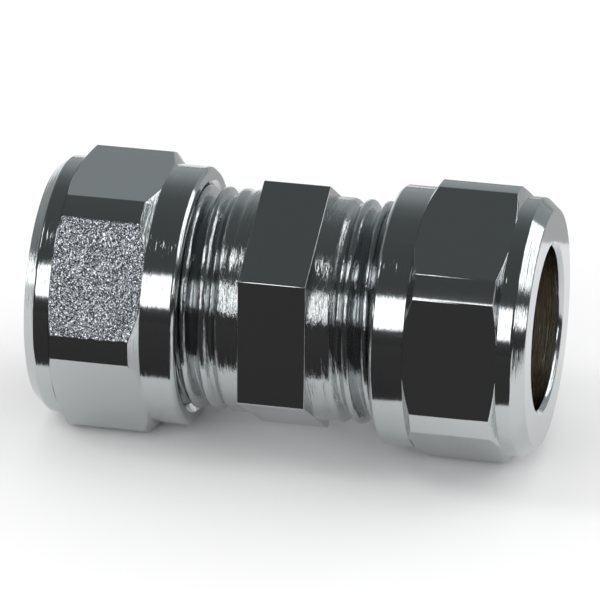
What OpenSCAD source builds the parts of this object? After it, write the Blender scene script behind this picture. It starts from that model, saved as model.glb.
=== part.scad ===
// Compression straight connector for two ends of one pipe.
// A body with a hexagon in the middle has an outside thread at each end.
// A nut screws on each end and traps a sealing ring, the olive, in the seats.
// Millimetres. The axis of the pipe is X, Z is up, and the origin is on the
// axis in the middle of the body.

/* [Pipe] */
// Outside diameter of the pipe
pipe_d = 15; // [12:0.1:15.6]
// Radial play of the pipe in the sockets of the body
socket_play = 0.1; // [0.05:0.05:0.3]
// Radial play of the pipe in the olives
olive_play = 0.05; // [0.02:0.01:0.15]
// Radial play of the pipe in the holes of the nuts
mouth_play = 0.15; // [0.1:0.05:0.4]

/* [Body] */
// Body hexagon, across its flats
body_across = 21; // [18:0.1:26]
// Width of the body hexagon along the axis
body_hex_width = 6.4; // [3:0.1:12]
// Outside diameter of the thread
thread_d = 20.9; // [20.3:0.1:21.2]
// Length of thread on each side of the hexagon
thread_length = 10.7; // [9.5:0.1:13]
// Advance of a nut in one turn
thread_pitch = 1.814; // [1:0.001:2]
// Angle between the two sides of the thread's groove
thread_angle = 55; // [50:1:58]
// Depth of the groove, as a share of the pitch
thread_depth = 0.6; // [0.4:0.01:0.62]
// Width of the bottom of the groove, as a share of the pitch
groove_bottom = 0.16; // [0.08:0.01:0.2]
// Plain collar between the hexagon and the thread
collar_length = 1.1; // [0.5:0.1:2]
// Length over which the groove sinks to its full depth
run_out_length = 2.9; // [1:0.1:4]
// Chamfer at the end of the thread
thread_chamfer = 0.7; // [0.2:0.1:0.8]
// Diameter of the way through the stop in the middle
stop_d = 13; // [9:0.1:13.6]
// Width of the stop that the pipe ends meet
stop_width = 2; // [1:0.1:4]
// Diameter of the mouth of each seat
seat_mouth_d = 17.8; // [17.2:0.1:18.2]
// Angle of the seats in the body, from the axis
seat_angle = 30; // [22:1:40]

/* [Nut] */
// Nut hexagon, across its flats
nut_across = 24; // [23.6:0.1:26]
// Diameter that the corners of the nut hexagon are turned to
nut_corner_d = 26.4; // [25.6:0.1:27.4]
// Length of the hexagon where its corners are full
nut_hex_length = 7.4; // [5:0.1:10]
// Length of the chamfer between the hexagon and the skirt
skirt_side_chamfer = 0.8; // [0.3:0.1:1.5]
// Length of the chamfer between the hexagon and the neck
neck_side_chamfer = 0.5; // [0.2:0.1:1]
// Wall of the round skirt on the body side, outside the threaded hole
skirt_wall = 1.58; // [1:0.02:2]
// Length of the skirt
skirt_length = 3.2; // [1.5:0.1:5]
// Chamfer on the rim of the skirt
skirt_rim = 0.35; // [0.1:0.05:0.5]
// Wall of the round neck on the outer side, outside the hole for the pipe
neck_wall = 4.45; // [3.9:0.05:5]
// Length of the neck
neck_length = 1.35; // [0.5:0.05:3]
// Length of the bevel from the neck to the end face
bevel_length = 1.2; // [0.5:0.1:2]
// Depth of the bevel, from the neck down to the end face
bevel_depth = 1; // [0.4:0.1:2]
// Depth of the hole for the pipe, from the end face
nut_wall = 2.5; // [1.5:0.1:3]
// Chamfer on the edge of that hole
mouth_chamfer = 0.4; // [0.1:0.05:0.6]
// Angle of the seat in the nut, from the axis
nut_seat_angle = 45; // [38:1:55]
// Diameter of the chamber round the olive
chamber_d = 18.8; // [18.4:0.1:19.4]
// Depth of the threaded hole from the rim of the skirt
nut_thread_depth = 7.6; // [6.5:0.1:8.2]
// Radial play between the nut and the outside of the thread
thread_play = 0.12; // [0.05:0.01:0.2]
// Chamfer at the mouth of the threaded hole
thread_mouth_chamfer = 0.4; // [0.1:0.05:0.7]

/* [Olive] */
// Largest diameter of the olive
olive_d = 18.1; // [17.2:0.1:18.3]
// Length of the olive
olive_length = 7.6; // [6:0.1:8.5]
// Length of the straight band round its middle
olive_band = 2; // [1:0.1:4]
// Thickness of its wall at both ends
olive_lip = 0.6; // [0.3:0.05:0.7]
// Gap between the olive and each seat, along the axis
seat_gap = 0.08; // [0.05:0.01:0.2]

/* [Position] */
// Turn of the body hexagon from lying on a flat
body_turn = 25; // [0:1:59]
// Distance from the middle to a crest on top of the left thread
left_crest = 7.17; // [6:0.01:8]
// Distance from the middle to a crest on top of the right thread
right_crest = 6.47; // [6:0.01:8]
// Turn of the left nut from lying on a flat
left_nut_turn = 0; // [0:1:59]
// Turn of the right nut from lying on a flat
right_nut_turn = 21; // [0:1:59]
// Turns that the left nut has been backed off from finger-tight
left_slack = 0; // [0:0.01:1]
// Turns that the right nut has been backed off from finger-tight
right_slack = 0.29; // [0:0.01:1]

/* [Hidden] */
$fn = 96;

LEFT = 180;
RIGHT = 0;
chrome = "silver";
brass = "goldenrod";

// How far a cutting shape runs past the face that it cuts
past = 1;
// The same for the groove of the thread, as a share of the pitch
groove_past = 0.05;
// Flat steps in one turn of that groove
turn_steps = 24;

pipe_r = pipe_d / 2;
thread_r = thread_d / 2;

// The body, from its middle outwards
hex_end = body_hex_width / 2;
body_end = hex_end + thread_length;
socket_r = pipe_r + socket_play;
seat_r = seat_mouth_d / 2;
seat_start = body_end - (seat_r - socket_r) / tan(seat_angle);

// The groove of the thread starts at the collar and runs out of the end
groove_start = hex_end + collar_length;
groove_depth = thread_depth * thread_pitch;
groove_half_width = groove_bottom * thread_pitch / 2;
groove_outer_r = (thread_r + groove_past * thread_pitch) / cos(180 / turn_steps);

// The olive's ends meet the seats at the outside of its lips
olive_bore_r = pipe_r + olive_play;
olive_end_r = olive_bore_r + olive_lip;
olive_taper = (olive_length - olive_band) / 2;
olive_start = body_end - (seat_r - olive_end_r) / tan(seat_angle) + seat_gap;

// The nut, measured from the rim of its skirt
mouth_r = pipe_r + mouth_play;
threaded_hole_r = thread_r + thread_play;
skirt_r = threaded_hole_r + skirt_wall;
neck_r = mouth_r + neck_wall;
corner_r = nut_corner_d / 2;
skirt_end = skirt_length;
corners_start = skirt_end + skirt_side_chamfer;
corners_end = corners_start + nut_hex_length;
neck_start = corners_end + neck_side_chamfer;
neck_end = neck_start + neck_length;
nut_length = neck_end + bevel_length;
mouth_start = nut_length - nut_wall;
nut_seat_length = (chamber_d / 2 - mouth_r) / tan(nut_seat_angle);
nut_seat_start = mouth_start - nut_seat_length;

// Place of the skirt's rim when the olive has just met both seats
olive_meets_nut = mouth_start - (olive_end_r - mouth_r) / tan(nut_seat_angle);
nut_start = olive_start + olive_length + seat_gap - olive_meets_nut;

// Advance of each nut, and the olive in it, from finger-tight
left_backed_off = left_slack * thread_pitch;
right_backed_off = right_slack * thread_pitch;

// Points of a half section are [radius, distance along the axis]
module turned(section) {
    rotate_extrude() polygon(section);
}

// A hexagonal bar that lies on a flat once its axis is laid along X
module hexagon(across, length) {
    rotate([0, 0, 30]) cylinder(d = across / cos(30), h = length, $fn = 6);
}

// Lays a shape's axis along X, towards one end, and turns it about X
module laid(end, turn = 0) {
    rotate([turn, 0, 0]) rotate([0, 90, end]) children();
}

// One end before its thread is cut, as long as the thread and half the hexagon
module thread_blank() {
    turned([
        [0, 0],
        [thread_r, 0],
        [thread_r, body_end - thread_chamfer],
        [thread_r - thread_chamfer, body_end],
        [0, body_end]
    ]);
}

// Radius of the bottom of the groove, which sinks from the collar outwards
function groove_r(place) =
    thread_r - groove_depth * min((place - groove_start) / run_out_length, 1);

// Corners of the section of the groove at one place and angle
function groove_section(place, angle) =
    let (
        inner_r = groove_r(place),
        outer_half_width =
            groove_half_width + (groove_outer_r - inner_r) * tan(thread_angle / 2)
    ) [
        for (corner = [
            [inner_r, -groove_half_width],
            [inner_r, groove_half_width],
            [groove_outer_r, outer_half_width],
            [groove_outer_r, -outer_half_width]
        ])
        [corner[0] * cos(angle), corner[0] * sin(angle), place + corner[1]]
    ];

// Space of the groove, a right-hand screw with a crest on top of the thread
module thread_groove(crest) {
    step_advance = thread_pitch / turn_steps;
    bottom_on_top = crest + thread_pitch / 2;
    first = floor((groove_start - bottom_on_top) / step_advance);
    last = ceil((body_end + thread_pitch - bottom_on_top) / step_advance);
    sections = [
        for (step = [first : last])
            groove_section(bottom_on_top + step * step_advance, 180 + step * 360 / turn_steps)
    ];
    polyhedron(
        points = [for (section = sections) for (corner = section) corner],
        faces = [
            [0, 1, 2, 3],
            for (i = [0 : last - first - 1], j = [0 : 3])
                [4 * i + j, 4 * i + 4 + j, 4 * i + 4 + (j + 1) % 4, 4 * i + (j + 1) % 4],
            [for (j = [3 : -1 : 0]) 4 * (last - first) + j]
        ]
    );
}

// Space of one end: the way through the stop, the socket and the seat
module pipe_space() {
    turned([
        [0, -past],
        [stop_d / 2, -past],
        [stop_d / 2, stop_width / 2],
        [socket_r, stop_width / 2],
        [socket_r, seat_start],
        [seat_r, body_end],
        [seat_r, body_end + past],
        [0, body_end + past]
    ]);
}

module body() {
    color(chrome) difference() {
        union() {
            laid(RIGHT, body_turn)
                translate([0, 0, -hex_end]) hexagon(body_across, body_hex_width);
            for (end = [LEFT, RIGHT]) laid(end) thread_blank();
        }
        for (end = [LEFT, RIGHT]) laid(end) pipe_space();
        laid(LEFT) thread_groove(left_crest);
        laid(RIGHT) thread_groove(right_crest);
    }
}

// Round outside of the nut: skirt, neck, bevel and the core under the hexagon
module nut_round() {
    turned([
        [0, 0],
        [skirt_r - skirt_rim, 0],
        [skirt_r, skirt_rim],
        [skirt_r, skirt_end],
        [threaded_hole_r, skirt_end],
        [threaded_hole_r, neck_start],
        [neck_r, neck_start],
        [neck_r, neck_end],
        [neck_r - bevel_depth, nut_length],
        [0, nut_length]
    ]);
}

// The hexagon, with its corners turned round and chamfered to skirt and neck
module nut_hexagon() {
    intersection() {
        translate([0, 0, skirt_end]) hexagon(nut_across, neck_start - skirt_end);
        turned([
            [0, skirt_end],
            [skirt_r, skirt_end],
            [corner_r, corners_start],
            [corner_r, corners_end],
            [neck_r, neck_start],
            [0, neck_start]
        ]);
    }
}

// Inside of the nut: threaded hole, chamber, seat and hole for the pipe
module nut_space() {
    turned([
        [0, -past],
        [threaded_hole_r + thread_mouth_chamfer, -past],
        [threaded_hole_r + thread_mouth_chamfer, 0],
        [threaded_hole_r, thread_mouth_chamfer],
        [threaded_hole_r, nut_thread_depth],
        [chamber_d / 2, nut_thread_depth],
        [chamber_d / 2, nut_seat_start],
        [mouth_r, mouth_start],
        [mouth_r, nut_length - mouth_chamfer],
        [mouth_r + mouth_chamfer, nut_length],
        [mouth_r + mouth_chamfer, nut_length + past],
        [0, nut_length + past]
    ]);
}

module nut(end, turn, backed_off) {
    color(chrome) laid(end, turn) translate([0, 0, nut_start + backed_off])
        difference() {
            union() {
                nut_round();
                nut_hexagon();
            }
            nut_space();
        }
}

module olive(end, backed_off) {
    color(brass) laid(end) translate([0, 0, olive_start + backed_off])
        turned([
            [olive_bore_r, 0],
            [olive_end_r, 0],
            [olive_d / 2, olive_taper],
            [olive_d / 2, olive_length - olive_taper],
            [olive_end_r, olive_length],
            [olive_bore_r, olive_length]
        ]);
}

body();
nut(LEFT, left_nut_turn, left_backed_off);  // left_nut
nut(RIGHT, right_nut_turn, right_backed_off);  // right_nut
olive(LEFT, left_backed_off);  // left_olive
olive(RIGHT, right_backed_off);  // right_olive
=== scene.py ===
import math

import bmesh
import bpy
from mathutils import Matrix, Vector


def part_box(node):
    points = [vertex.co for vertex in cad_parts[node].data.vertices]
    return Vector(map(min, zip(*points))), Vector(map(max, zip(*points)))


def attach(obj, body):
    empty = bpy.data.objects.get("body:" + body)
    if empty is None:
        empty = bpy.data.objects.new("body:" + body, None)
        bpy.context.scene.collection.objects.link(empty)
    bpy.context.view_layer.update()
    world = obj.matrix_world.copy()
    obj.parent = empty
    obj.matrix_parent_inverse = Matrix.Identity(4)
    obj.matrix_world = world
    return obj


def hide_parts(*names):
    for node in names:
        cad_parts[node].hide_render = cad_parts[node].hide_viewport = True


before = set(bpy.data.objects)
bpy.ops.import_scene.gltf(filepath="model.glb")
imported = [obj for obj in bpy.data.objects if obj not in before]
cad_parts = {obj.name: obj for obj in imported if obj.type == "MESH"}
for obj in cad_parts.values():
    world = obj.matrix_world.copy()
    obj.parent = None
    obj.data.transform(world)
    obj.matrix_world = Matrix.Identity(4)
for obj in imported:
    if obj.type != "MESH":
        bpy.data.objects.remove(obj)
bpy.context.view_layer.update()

# The body is one brass turning from a hexagonal bar. A right-hand thread is
# cut on each end up to a short plain collar at the hexagon, a stop in the
# middle of the bore meets both pipe ends, and the outside is chrome plated.
MM = 0.001
body_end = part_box("body")[1].x / MM
hexagon_end = 3.2
hexagon_across = 21
hexagon_turn = 25
hexagon_edge = 0.12
thread_r = 10.45
thread_depth = 1.1
thread_pitch = 1.814
thread_chamfer = 0.7
groove_sharpness = 1.5
run_out_start = 4.3
run_out_end = 7.2
right_crest = 6.47
left_crest = 7.17
stop_r = 6.5
stop_end = 1
socket_r = 7.6
seat_start = 11.648
seat_mouth_r = 8.9
rows_in_pitch = 14
steps_in_turn = 120
sides = 144
axis = Vector((1, 0, 0))
middle = Vector((0, 0, 0))
full_turn = 2 * math.pi


def groove(share):
    """Depth of the thread's groove over one pitch: 0 on the broad crest, 1 at the bottom."""
    return ((1 - math.cos(full_turn * share)) / 2) ** groove_sharpness


def wind_thread(bm, radius, crest, last):
    """Winds a right-hand thread round the axis, turn after turn, past both ends of its length."""
    start = crest - 5 * thread_pitch
    turns = math.ceil((last - start) / thread_pitch) + 1
    row = [
        bm.verts.new((start + thread_pitch * i / rows_in_pitch, 0, radius - thread_depth * groove(i / rows_in_pitch)))
        for i in range(rows_in_pitch + 1)
    ]
    line = [bm.edges.new(pair) for pair in zip(row, row[1:])]
    bmesh.ops.spin(
        bm, geom=row + line, cent=middle, axis=axis, dvec=axis * thread_pitch / steps_in_turn,
        angle=full_turn, steps=steps_in_turn,
    )
    one_turn = bm.verts[:] + bm.edges[:] + bm.faces[:]
    for turn in range(1, turns):
        copied = bmesh.ops.duplicate(bm, geom=one_turn)["geom"]
        copied_verts = [v for v in copied if isinstance(v, bmesh.types.BMVert)]
        bmesh.ops.translate(bm, vec=axis * thread_pitch * turn, verts=copied_verts)
    bmesh.ops.remove_doubles(bm, verts=bm.verts, dist=0.001)


def trim(bm, place, direction):
    """Cuts off all that lies beyond a plane across the axis."""
    geom = bm.verts[:] + bm.edges[:] + bm.faces[:]
    bmesh.ops.bisect_plane(
        bm, geom=geom, dist=0.0001, plane_co=axis * place, plane_no=axis * direction, clear_outer=True
    )


def set_radius(vert, radius):
    """Moves a point straight out from the axis, or in to it."""
    share = radius / math.hypot(vert.co.y, vert.co.z)
    vert.co.y *= share
    vert.co.z *= share


def radius_of(vert):
    return math.hypot(vert.co.y, vert.co.z)


def turn_section(bm, section, closed=False):
    """Spins a half section of (distance along the axis, radius) points round the axis."""
    points = [bm.verts.new((x, 0, r)) for x, r in section]
    pairs = list(zip(points, points[1:]))
    if closed:
        pairs.append((points[-1], points[0]))
    line = [bm.edges.new(pair) for pair in pairs]
    bmesh.ops.spin(
        bm, geom=points + line, cent=middle, axis=axis, angle=full_turn, steps=sides, use_merge=True
    )


def open_edges(bm, place):
    """The edges of the openings that lie in one plane across the axis."""
    return [e for e in bm.edges if e.is_boundary and all(abs(v.co.x - place) < 0.001 for v in e.verts)]


def close_ring(bm, place, direction):
    """Fills the flat ring between the two openings that lie in one plane across the axis."""
    bmesh.ops.triangle_fill(
        bm, use_beauty=True, use_dissolve=False, edges=open_edges(bm, place), normal=axis * direction
    )


def ring_edges(bm, place, radius):
    """The edges of the circle at one place along the axis."""
    return [
        e for e in bm.edges
        if all(abs(v.co.x - place) < 0.001 and abs(radius_of(v) - radius) < 0.001 for v in e.verts)
    ]


def soften(bm, edges, width):
    """Rounds edges."""
    bmesh.ops.bevel(
        bm, geom=edges, offset=width, offset_type="OFFSET", segments=3, profile=0.5, affect="EDGES",
        clamp_overlap=False, material=-1, loop_slide=True,
    )


def finish_piece(bm, name, body, node, materials):
    """Makes a piece of the mesh, in metres, puts it on its body, hides the CAD node it stands for and gives it its
    finish.
    """
    bmesh.ops.recalc_face_normals(bm, faces=bm.faces)
    crease = math.radians(40)
    for edge in bm.edges:
        edge.smooth = edge.calc_face_angle(0) < crease
    for face in bm.faces:
        face.smooth = True
    bmesh.ops.scale(bm, vec=(MM, MM, MM), verts=bm.verts)
    mesh = bpy.data.meshes.new(name)
    bm.to_mesh(mesh)
    bm.free()
    piece = bpy.data.objects.new(name, mesh)
    bpy.context.scene.collection.objects.link(piece)
    for material in materials:
        mesh.materials.append(material)
    even = piece.modifiers.new("even", "WEIGHTED_NORMAL")
    even.keep_sharp = True
    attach(piece, body)
    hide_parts(node)
    return piece


def add(tree, kind, **values):
    """Adds a node to a material and sets its values."""
    node = tree.nodes.new(kind)
    for name, value in values.items():
        if hasattr(node, name):
            setattr(node, name, value)
        else:
            node.inputs[name.replace("_", " ")].default_value = value
    return node


def plated(name, stretch, size, strength, roughness=0.1, detail=3.0, depth=0.02, color=(0.5, 0.525, 0.535)):
    """Bright chrome with fine marks that run along the directions whose stretch is small."""
    material = bpy.data.materials.new(name)
    material.use_nodes = True
    tree = material.node_tree
    shader = tree.nodes["Principled BSDF"]
    shader.inputs["Base Color"].default_value = (*color, 1)
    shader.inputs["Metallic"].default_value = 1
    shader.inputs["Roughness"].default_value = roughness
    place = add(tree, "ShaderNodeTexCoord")
    laid = add(tree, "ShaderNodeMapping", Scale=stretch)
    marks = add(tree, "ShaderNodeTexNoise", Scale=size, Detail=detail, Roughness=0.6)
    bump = add(tree, "ShaderNodeBump", Strength=strength, Distance=depth * MM)
    tree.links.new(place.outputs["Object"], laid.inputs["Vector"])
    tree.links.new(laid.outputs["Vector"], marks.inputs["Vector"])
    tree.links.new(marks.outputs["Fac"], bump.inputs["Height"])
    tree.links.new(bump.outputs["Normal"], shader.inputs["Normal"])
    return material


turned_chrome = plated("turned_chrome", (1, 0.05, 0.05), 5000, 0.6, depth=0.05)
thread_chrome = plated("thread_chrome", (1, 0.13, 0.13), 3600, 1, detail=4, depth=0.09)
drawn_chrome = plated("drawn_chrome", (0.02, 1, 1), 2500, 0.3)

bm = bmesh.new()
wind_thread(bm, thread_r, right_crest, body_end)
for vert in bm.verts:
    x = vert.co.x
    depth = min(max((x - run_out_start) / (run_out_end - run_out_start), 0), 1)
    lowest = thread_r - (thread_r - radius_of(vert)) * depth
    set_radius(vert, min(lowest, thread_r + body_end - thread_chamfer - x))
trim(bm, body_end, 1)
trim(bm, hexagon_end, -1)
left = bmesh.ops.duplicate(bm, geom=bm.verts[:] + bm.edges[:] + bm.faces[:])["geom"]
left_verts = [v for v in left if isinstance(v, bmesh.types.BMVert)]
half_turn = Matrix.Rotation(math.pi, 3, "Z")
bmesh.ops.rotate(bm, cent=middle, matrix=half_turn, verts=left_verts)
left_phase = full_turn * (left_crest - right_crest) / thread_pitch
bmesh.ops.rotate(bm, cent=middle, matrix=Matrix.Rotation(left_phase, 3, "X"), verts=left_verts)
turn_section(bm, [
    (body_end, seat_mouth_r),
    (seat_start, socket_r),
    (stop_end, socket_r),
    (stop_end, stop_r),
    (-stop_end, stop_r),
    (-stop_end, socket_r),
    (-seat_start, socket_r),
    (-body_end, seat_mouth_r),
])
close_ring(bm, body_end, 1)
close_ring(bm, -body_end, -1)
for place in (-stop_end, stop_end):
    soften(bm, ring_edges(bm, place, stop_r), 0.15)
corners = bmesh.ops.create_circle(
    bm, cap_ends=True, segments=6, radius=hexagon_across / 2 / math.cos(math.pi / 6)
)["verts"]
lie = Matrix.Rotation(math.radians(hexagon_turn), 3, "X") @ Matrix.Rotation(math.pi / 2, 3, "Y")
bmesh.ops.rotate(bm, cent=middle, matrix=lie, verts=corners)
bmesh.ops.translate(bm, vec=-axis * hexagon_end, verts=corners)
cap = corners[0].link_faces[0]
grown = bmesh.ops.extrude_face_region(bm, geom=[cap], use_keep_orig=True)["geom"]
far_corners = [v for v in grown if isinstance(v, bmesh.types.BMVert)]
bmesh.ops.translate(bm, vec=axis * 2 * hexagon_end, verts=far_corners)
bar_edges = {e for v in corners + far_corners for e in v.link_edges}
soften(bm, list(bar_edges), hexagon_edge)
caps = [f for f in bm.faces if len(f.verts) == 6 and all(abs(abs(v.co.x) - hexagon_end) < 0.001 for v in f.verts)]
bmesh.ops.delete(bm, geom=caps, context="FACES_ONLY")
close_ring(bm, hexagon_end, 1)
close_ring(bm, -hexagon_end, -1)
for face in bm.faces:
    if all(abs(v.co.x) < hexagon_end + 0.01 and radius_of(v) > hexagon_across / 2 - 0.01 for v in face.verts):
        face.material_index = 1
finish_piece(bm, "connector_body", "body", "body", [thread_chrome, drawn_chrome])

# Each olive is a soft brass ring that slides on the pipe. The nut pushes it
# into the seat of the body, and both its tapers are squeezed onto the pipe.
olive_taper = 2.8
olive_lip_r = 8.15
olive_bore_r = 7.55


def raw_brass(name):
    """Turned brass, left bright, with the fine rings that the tool leaves."""
    material = bpy.data.materials.new(name)
    material.use_nodes = True
    tree = material.node_tree
    shader = tree.nodes["Principled BSDF"]
    shader.inputs["Base Color"].default_value = (0.66, 0.52, 0.33, 1)
    shader.inputs["Metallic"].default_value = 1
    shader.inputs["Roughness"].default_value = 0.45
    place = add(tree, "ShaderNodeTexCoord")
    laid = add(tree, "ShaderNodeMapping", Scale=(1, 0.03, 0.03))
    marks = add(tree, "ShaderNodeTexNoise", Scale=4000, Detail=3)
    bump = add(tree, "ShaderNodeBump", Strength=0.3, Distance=0.00002)
    tree.links.new(place.outputs["Object"], laid.inputs["Vector"])
    tree.links.new(laid.outputs["Vector"], marks.inputs["Vector"])
    tree.links.new(marks.outputs["Fac"], bump.inputs["Height"])
    tree.links.new(bump.outputs["Normal"], shader.inputs["Normal"])
    return material


olive_brass = raw_brass("olive_brass")


def make_olive(side):
    node = side + "_olive"
    low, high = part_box(node)
    first = low.x / MM
    last = high.x / MM
    band_r = high.z / MM
    bm = bmesh.new()
    turn_section(bm, [
        (first, olive_bore_r),
        (first, olive_lip_r),
        (first + olive_taper, band_r),
        (last - olive_taper, band_r),
        (last, olive_lip_r),
        (last, olive_bore_r),
    ], closed=True)
    for place in (first + olive_taper, last - olive_taper):
        soften(bm, ring_edges(bm, place, band_r), 0.3)
    for place in (first, last):
        soften(bm, ring_edges(bm, place, olive_lip_r), 0.12)
    finish_piece(bm, side + "_sealing_ring", node, node, [olive_brass])


for side in ("left", "right"):
    make_olive(side)

# The nuts are turned from hexagonal bar: a round skirt with a thin wall, the
# hexagon with its corners turned down and chamfered at both ends, a short
# neck, and a bevel down to the end face round the hole for the pipe.
flat_r = 12
corner_r = 13.2
skirt_r = 12.15
skirt_rim = 0.35
skirt_end = 3.2
corners_start = 4.0
corners_end = 11.4
neck_start = 11.9
neck_r = 12.1
neck_end = 13.25
end_face_r = 11.1
pipe_hole_r = 7.65
hole_chamfer = 0.4
nut_length = 14.45
pipe_hole_start = 11.95
nut_seat_start = 10.2
chamber_r = 9.4
nut_thread_end = 7.6
thread_play = 0.12
mouth_chamfer = 0.4
rim_inside_r = 11.2
nut_edge = 0.07
near = 0.001
rough_flat = 2


def cut_flat(bm, normal, first, last, finish):
    """Cuts one flat of the hexagon between the skirt and the neck."""
    def in_zone(face):
        return all(first - near < v.co.x < last + near and radius_of(v) > flat_r - near for v in face.verts)

    zone = [f for f in bm.faces if in_zone(f)]
    edges = {e for f in zone for e in f.edges}
    verts = {v for f in zone for v in f.verts}
    bmesh.ops.bisect_plane(
        bm, geom=[*verts, *edges, *zone], dist=0.0001, plane_co=normal * flat_r, plane_no=normal
    )
    beyond = [f for f in bm.faces if in_zone(f) and f.calc_center_median().dot(normal) > flat_r + near / 2]
    bmesh.ops.delete(bm, geom=beyond, context="FACES")
    hole = [e for e in bm.edges if e.is_boundary and all(v.co.dot(normal) > flat_r - near for v in e.verts)]
    outline = [e for e in hole if all(v.co.dot(normal) < flat_r + near for v in e.verts)]
    for place in (first, last):
        arc = [e for e in hole if e not in outline and all(abs(v.co.x - place) < near for v in e.verts)]
        arc_verts = [v for e in arc for v in e.verts]
        ends = [v for v in arc_verts if arc_verts.count(v) == 1]
        chord = bmesh.ops.contextual_create(bm, geom=ends)["edges"]
        bmesh.ops.edgeloop_fill(bm, edges=arc + chord)
        outline += chord
    flat = bmesh.ops.edgeloop_fill(bm, edges=outline)["faces"]
    for face in flat:
        face.material_index = finish


def make_nut(side, rim, turn, crest, materials):
    """Makes a nut at the right end, with its rim at a distance from the middle, and swings it to its side."""
    bm = bmesh.new()
    turn_section(bm, [(rim + length, radius) for length, radius in (
        (0, rim_inside_r),
        (0, skirt_r - skirt_rim),
        (skirt_rim, skirt_r),
        (skirt_end, skirt_r),
        (corners_start, corner_r),
        (corners_end, corner_r),
        (neck_start, neck_r),
        (neck_end, neck_r),
        (nut_length, end_face_r),
        (nut_length, pipe_hole_r + hole_chamfer),
        (nut_length - hole_chamfer, pipe_hole_r),
        (pipe_hole_start, pipe_hole_r),
        (nut_seat_start, chamber_r),
        (nut_thread_end, chamber_r),
    )])
    first = rim + skirt_end
    last = rim + neck_start
    for side_number in range(6):
        face_turn = Matrix.Rotation(turn + side_number * math.pi / 3, 3, "X")
        finish = 2 if side == "left" and side_number == rough_flat else 1
        cut_flat(bm, face_turn @ Vector((0, 0, -1)), first, last, finish)
    flats = [f for f in bm.faces if f.material_index > 0]
    outlines = {
        e for f in flats for e in f.edges
        if not all(min(abs(v.co.x - first), abs(v.co.x - last)) < near for v in e.verts)
    }
    soften(bm, list(outlines), nut_edge)
    for length, radius, width in (
        (0, skirt_r - skirt_rim, 0.08),
        (skirt_rim, skirt_r, 0.08),
        (neck_end, neck_r, 0.12),
        (nut_length, end_face_r, 0.12),
        (nut_length, pipe_hole_r + hole_chamfer, 0.06),
        (nut_length - hole_chamfer, pipe_hole_r, 0.06),
    ):
        soften(bm, ring_edges(bm, rim + length, radius), width)
    screw = bmesh.new()
    wind_thread(screw, thread_r + thread_play, crest, rim + nut_thread_end)
    for vert in screw.verts:
        cone_r = thread_r + thread_play + mouth_chamfer - (vert.co.x - rim)
        set_radius(vert, max(radius_of(vert), min(cone_r, thread_r + thread_play + mouth_chamfer)))
    trim(screw, rim + nut_thread_end, 1)
    trim(screw, rim, -1)
    wound = bpy.data.meshes.new("wound")
    screw.to_mesh(wound)
    screw.free()
    bm.from_mesh(wound)
    bpy.data.meshes.remove(wound)
    close_ring(bm, rim, -1)
    close_ring(bm, rim + nut_thread_end, -1)
    if side == "left":
        bmesh.ops.rotate(bm, cent=middle, matrix=half_turn, verts=bm.verts)
    node = side + "_nut"
    return finish_piece(bm, side + "_compression_nut", node, node, materials)


hammered_chrome = plated(
    "hammered_chrome", (1, 1, 1), 3600, 1, roughness=0.06, detail=1, depth=0.2, color=(0.5, 0.53, 0.57)
)
left_rim = -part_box("left_nut")[1].x / MM
right_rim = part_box("right_nut")[0].x / MM
make_nut("left", left_rim, 0, left_crest, [turned_chrome, drawn_chrome, hammered_chrome])
make_nut("right", right_rim, math.radians(21), right_crest, [turned_chrome, drawn_chrome])

# A white paper floor lies under the connector, tilted to touch both nuts.
left_contact = Vector((-20.3, 0, -12.0)) * MM
right_contact = Vector((13.44, 0, -13.18)) * MM
floor_tilt = math.atan2(left_contact.z - right_contact.z, right_contact.x - left_contact.x)
floor_size = 1.5
bm = bmesh.new()
bmesh.ops.create_circle(bm, cap_ends=True, segments=96, radius=floor_size)
bmesh.ops.rotate(bm, cent=middle, matrix=Matrix.Rotation(floor_tilt, 3, "Y"), verts=bm.verts)
bmesh.ops.translate(bm, vec=(left_contact + right_contact) / 2, verts=bm.verts)
floor_mesh = bpy.data.meshes.new("floor")
bm.to_mesh(floor_mesh)
bm.free()
floor = bpy.data.objects.new("floor", floor_mesh)
bpy.context.scene.collection.objects.link(floor)
paper = bpy.data.materials.new("paper")
paper.use_nodes = True
paper.node_tree.nodes["Principled BSDF"].inputs["Base Color"].default_value = (0.93, 0.93, 0.93, 1)
paper.node_tree.nodes["Principled BSDF"].inputs["Roughness"].default_value = 0.9
paper.node_tree.nodes["Principled BSDF"].inputs["Specular IOR Level"].default_value = 0.1
floor_mesh.materials.append(paper)

# Chrome shows what stands round it, so the connector lies in a small tent, and the tent is seen in the chrome alone.
# It is a glowing sphere, no lamp, and its glow is a painted reflection: dark in front and above, pale behind. A matt
# sheet lies round the paper, also seen in the chrome alone; it is a painted dark reflection with a patch of painted
# shade.
tent_r = 1.2


# The tent's colour is a painted reflection: it glows, though it is no lamp, dark in front and above and pale behind,
# and only the chrome sees it.
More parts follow.
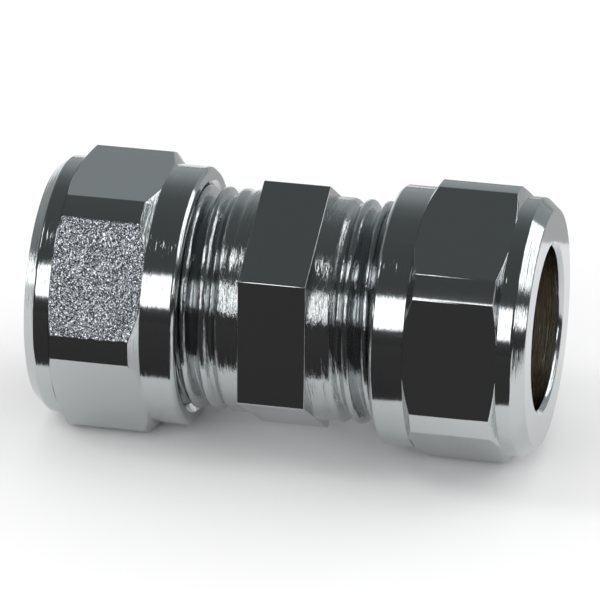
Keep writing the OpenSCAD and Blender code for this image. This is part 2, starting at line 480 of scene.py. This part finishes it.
def painted_reflection_glow():
    material = bpy.data.materials.new("painted_reflection_glow")
    material.use_nodes = True
    tree = material.node_tree
    tree.nodes.clear()
    out = add(tree, "ShaderNodeOutputMaterial")
    glow = add(tree, "ShaderNodeEmission")
    place = add(tree, "ShaderNodeTexCoord")
    split = add(tree, "ShaderNodeSeparateXYZ")
    front = add(tree, "ShaderNodeMath", operation="MULTIPLY")
    front.inputs[1].default_value = -1
    turn = add(tree, "ShaderNodeMath", operation="ARCTAN2")
    share = add(tree, "ShaderNodeMath", operation="DIVIDE")
    share.inputs[1].default_value = math.pi
    ramp = add(tree, "ShaderNodeValToRGB")
    tree.links.new(place.outputs["Object"], split.inputs["Vector"])
    tree.links.new(split.outputs["Y"], front.inputs[0])
    tree.links.new(split.outputs["Z"], turn.inputs[0])
    tree.links.new(front.outputs[0], turn.inputs[1])
    tree.links.new(turn.outputs[0], share.inputs[0])
    tree.links.new(share.outputs[0], ramp.inputs["Fac"])
    tree.links.new(ramp.outputs["Color"], glow.inputs["Color"])
    tree.links.new(glow.outputs["Emission"], out.inputs["Surface"])
    stops = ramp.color_ramp.elements
    stops[0].position = 0
    stops[0].color = (0.045, 0.043, 0.043, 1)
    stops[1].position = 1
    stops[1].color = (0.45, 0.48, 0.49, 1)
    for position, color in (
        (0.22, (0.075, 0.077, 0.077, 1)),
        (0.5, (0.09, 0.098, 0.1, 1)),
        (0.66, (0.11, 0.12, 0.122, 1)),
        (0.75, (0.17, 0.185, 0.188, 1)),
        (0.86, (0.35, 0.375, 0.38, 1)),
    ):
        stop = stops.new(position)
        stop.color = color
    return material


def hang(name, bm, materials):
    """Puts up a sheet which only the chrome shows, so that its colour is a painted reflection."""
    mesh = bpy.data.meshes.new(name)
    bm.to_mesh(mesh)
    bm.free()
    for material in materials:
        mesh.materials.append(material)
    sheet = bpy.data.objects.new(name, mesh)
    bpy.context.scene.collection.objects.link(sheet)
    sheet.visible_camera = False
    sheet.visible_diffuse = False
    sheet.visible_shadow = False
    sheet.visible_volume_scatter = False
    return sheet


bm = bmesh.new()
bmesh.ops.create_uvsphere(bm, u_segments=64, v_segments=32, radius=tent_r)
hang("tent", bm, [painted_reflection_glow()])

paper_left = -400 * MM
paper_right = 190 * MM
paper_front = -18.3 * MM
paper_back = 400 * MM
slant_start = 11 * MM
slant = 0.28
shade_left = -12 * MM
shade_front = 45 * MM
cloth_lift = 0.2 * MM


def cloth(name, color):
    """Matt cloth for the sheets seen in the chrome alone, whose colour is a painted reflection."""
    material = bpy.data.materials.new(name)
    material.use_nodes = True
    shader = material.node_tree.nodes["Principled BSDF"]
    shader.inputs["Base Color"].default_value = (*color, 1)
    shader.inputs["Roughness"].default_value = 1
    shader.inputs["Specular IOR Level"].default_value = 0
    return material


# A sheet round the paper that only the chrome shows: its dark part is a painted dark reflection, and its grey patch
# is painted shade.
bm = bmesh.new()
bmesh.ops.create_grid(bm, x_segments=1, y_segments=1, size=1.3)
for place, direction in (
    ((paper_left, 0, 0), (1, 0, 0)),
    ((paper_right, 0, 0), (1, 0, 0)),
    ((0, paper_front, 0), (0, 1, 0)),
    ((0, paper_back, 0), (0, 1, 0)),
    ((slant_start, paper_front, 0), (slant, 1, 0)),
    ((shade_left, 0, 0), (1, 0, 0)),
    ((0, shade_front, 0), (0, 1, 0)),
):
    geom = bm.verts[:] + bm.edges[:] + bm.faces[:]
    bmesh.ops.bisect_plane(bm, geom=geom, dist=0.00001, plane_co=place, plane_no=direction)
on_paper = []
for face in bm.faces:
    x, y, z = face.calc_center_median()
    front = paper_front - slant * max(x - slant_start, 0)
    # The grey patch behind, on the right, lies over the paper and is painted shade on it, seen in the chrome alone.
    if x > shade_left and y > shade_front:
        face.material_index = 1
    elif paper_left < x < paper_right and front < y < paper_back:
        on_paper.append(face)
bmesh.ops.delete(bm, geom=on_paper, context="FACES")
bmesh.ops.rotate(bm, cent=middle, matrix=Matrix.Rotation(floor_tilt, 3, "Y"), verts=bm.verts)
bmesh.ops.translate(bm, vec=(left_contact + right_contact) / 2 + Vector((0, 0, cloth_lift)), verts=bm.verts)
hang("painted_reflection_round_paper", bm, [cloth("painted_dark_reflection", (0.045, 0.043, 0.043)), cloth("painted_shade_reflection", (0.45, 0.45, 0.45))])


def softbox(name, place, width, height, brightness):
    """A soft lamp that faces the connector. Its brightness is that of its face."""
    lamp = bpy.data.lights.new(name, "AREA")
    lamp.shape = "RECTANGLE"
    lamp.size = width
    lamp.size_y = height
    lamp.energy = brightness * width * height * math.pi
    stand = bpy.data.objects.new(name, lamp)
    stand.location = place
    stand.rotation_mode = "QUATERNION"
    stand.rotation_quaternion = Vector(place).to_track_quat("Z", "Y")
    bpy.context.scene.collection.objects.link(stand)
    return stand


softbox("lamp_by_camera", (-0.122, -0.522, 0.269), 0.3, 0.29, 2.5)
softbox("lamp_above_left", (-0.47, -0.20, 0.60), 0.2, 0.24, 5)
softbox("lamp_right_behind", (0.40, 0.19, 0.245), 0.48, 0.14, 2.2)
softbox("lamp_right_front", (0.46, -0.15, 0.12), 0.09, 0.11, 3)
softbox("lamp_left", (-0.30, 0.01, -0.005), 0.12, 0.06, 3)

# The camera stands where the photograph was taken from, in front, a little
# to the right of the connector and above it.
view_azimuth = math.radians(13.138)
view_elevation = math.radians(26.665)
view_roll = math.radians(-0.5616)
view_distance = 0.6359
aim_right = 0.00035
aim_up = 0.000436
back = Vector((
    math.sin(view_azimuth) * math.cos(view_elevation),
    -math.cos(view_azimuth) * math.cos(view_elevation),
    math.sin(view_elevation),
))
level = Vector((math.cos(view_azimuth), math.sin(view_azimuth), 0))
upright = back.cross(level)
right = math.cos(view_roll) * level + math.sin(view_roll) * upright
up = math.cos(view_roll) * upright - math.sin(view_roll) * level
camera_data = bpy.data.cameras.new("camera")
camera_data.lens = 408.9
camera_data.sensor_width = 36
camera_data.clip_start = 0.05
camera_data.clip_end = 20
camera = bpy.data.objects.new("camera", camera_data)
bpy.context.scene.collection.objects.link(camera)
facing = Matrix((right, up, back)).transposed()
camera.matrix_world = Matrix.Translation(back * view_distance + right * aim_right + up * aim_up) @ facing.to_4x4()
bpy.context.scene.camera = camera

world = bpy.data.worlds.new("world")
world.use_nodes = True
world.node_tree.nodes["Background"].inputs["Color"].default_value = (1, 1, 1, 1)
world.node_tree.nodes["Background"].inputs["Strength"].default_value = 0.9
bpy.context.scene.world = world
bpy.context.scene.view_settings.view_transform = "Standard"
